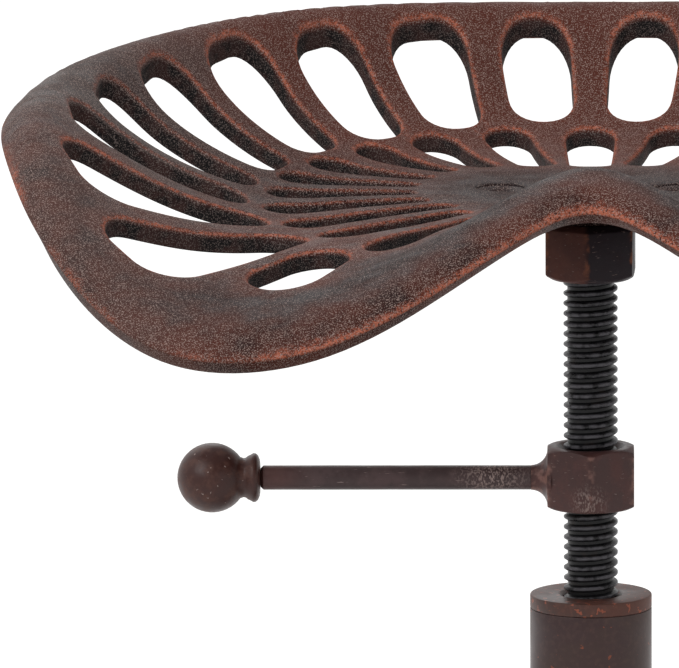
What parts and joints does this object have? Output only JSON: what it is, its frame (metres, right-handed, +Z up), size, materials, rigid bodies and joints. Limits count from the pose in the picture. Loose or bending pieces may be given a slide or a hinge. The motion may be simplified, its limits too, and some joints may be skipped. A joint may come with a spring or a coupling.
{
  "type": "tractor seat stool",
  "caption": "Height-adjustable stool with a pierced, dished tractor-style cast seat on a lifting screw, a locking nut with a ball-ended lever, and a column on legs with a foot ring.",
  "frame": {"origin": "on the floor, on the lifting screw's axis, at the centre of the footprint", "axes": "+Z up; -Y towards the tongue at the front of the seat; the lever points to -X at rest"},
  "size_m": [0.43, 0.4244, 0.7144],
  "materials": {
    "cast_bronze_finish": "sand-cast iron with an antique copper-brown finish, rubbed red-brown at the edges",
    "oiled_screw": "blackened steel, oiled, satin",
    "brown_enamel": "dark brown hammered enamel, satin",
    "worn_brown_steel": "dark brown finish over steel, worn at corners",
    "brown_knob": "dark brown finish, fine speckle",
    "nylon": "natural nylon",
    "black_plastic": "black plastic, matt",
    "black_rubber": "black rubber, matt",
    "dark_fasteners": "blackened steel fasteners"
  },
  "bodies": {
    "frame": {"column_tube": "brown_enamel", "column_cap": "brown_enamel", "column_nut": "oiled_screw", "column_plug": "black_plastic", "leg_hub": "brown_enamel", "leg_front_left": "brown_enamel", "leg_front_right": "brown_enamel", "leg_back_left": "brown_enamel", "leg_back_right": "brown_enamel", "foot_front_left": "black_rubber", "foot_front_right": "black_rubber", "foot_back_left": "black_rubber", "foot_back_right": "black_rubber", "foot_ring": "brown_enamel", "ring_spacers": "black_plastic", "ring_saddles": "black_plastic", "ring_bolts": "dark_fasteners", "ring_nuts": "dark_fasteners", "leg_bolts": "dark_fasteners", "leg_washers": "dark_fasteners"},
    "guide": {"guide_bush": "nylon"},
    "seat_and_screw": {"lift_screw": "oiled_screw", "guide_washer": "dark_fasteners", "guide_bolt": "dark_fasteners", "seat_hex": "worn_brown_steel", "seat": "cast_bronze_finish", "seat_bolt": "dark_fasteners", "seat_washer": "dark_fasteners"},
    "lock_carrier": {"lock_ring": "nylon"},
    "lock": {"lock_nut": "worn_brown_steel", "lock_lever": "worn_brown_steel", "ball_knob": "brown_knob"}
  },
  "joints": [
    {"name": "seat_height", "type": "slide", "parent": "frame", "child": "guide", "axis": [0, 0, 1], "range_m": [-0.0561, 0.0998]},
    {"name": "seat_turn", "type": "hinge", "parent": "guide", "child": "seat_and_screw", "pos_m": [0, 0, 0.6], "axis": [0, 0, 1], "range_deg": [-5310, 9450]},
    {"name": "lock_nut_travel", "type": "slide", "parent": "frame", "child": "lock_carrier", "axis": [0, 0, 1], "range_m": [-0.0324, 0.0048]},
    {"name": "lock_nut_turn", "type": "hinge", "parent": "lock_carrier", "child": "lock", "pos_m": [0, 0, 0.56], "axis": [0, 0, 1], "range_deg": [-3060, 450]}
  ],
  "couplings": [
    {"joint": "seat_height", "follows": "seat_turn", "m_per_rad": 0.00060479},
    {"joint": "lock_nut_travel", "follows": "lock_nut_turn", "m_per_rad": 0.00060479}
  ]
}
